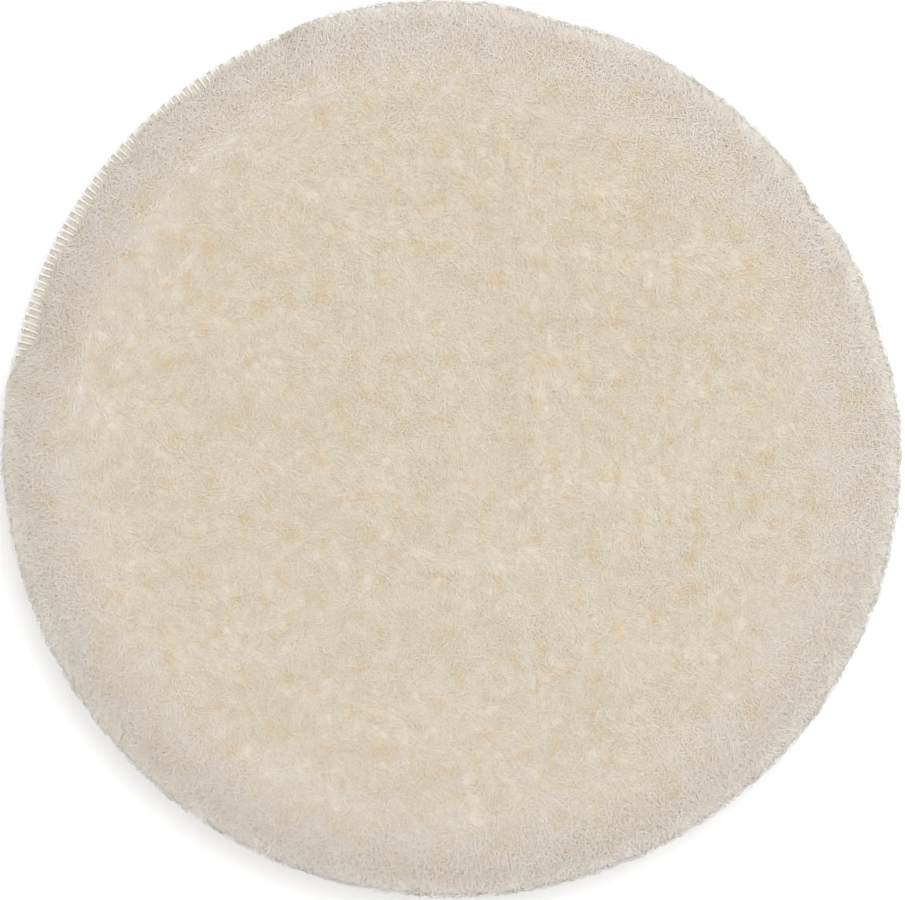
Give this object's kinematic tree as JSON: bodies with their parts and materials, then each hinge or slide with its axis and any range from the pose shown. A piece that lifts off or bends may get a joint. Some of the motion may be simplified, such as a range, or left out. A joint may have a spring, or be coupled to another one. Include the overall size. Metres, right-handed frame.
{
  "type": "polishing pad",
  "caption": "Round lambswool polishing pad with a hook-and-loop back and an overlocked rim, for a rotary polisher.",
  "frame": {"origin": "centre of the loop face, which presses on the machine's backing plate", "axes": "+Z along the spin axis, out of the wool's working face; +X and +Y lie in the loop face"},
  "size_m": [0.18, 0.18, 0.02],
  "materials": {
    "lambswool": "matte",
    "lambskin": "matte",
    "hot_melt": "satin",
    "nylon_knit": "matte",
    "nylon_loop": "matte",
    "looper_thread": "matte",
    "needle_thread": "matte"
  },
  "bodies": {
    "root": {"loop_nap": "nylon_loop", "loop_ground_cloth": "nylon_knit", "adhesive_film": "hot_melt", "hide": "lambskin", "wool_pile": "lambswool", "needle_thread": "needle_thread", "upper_looper_thread": "looper_thread", "lower_looper_thread": "looper_thread"}
  },
  "joints": []
}
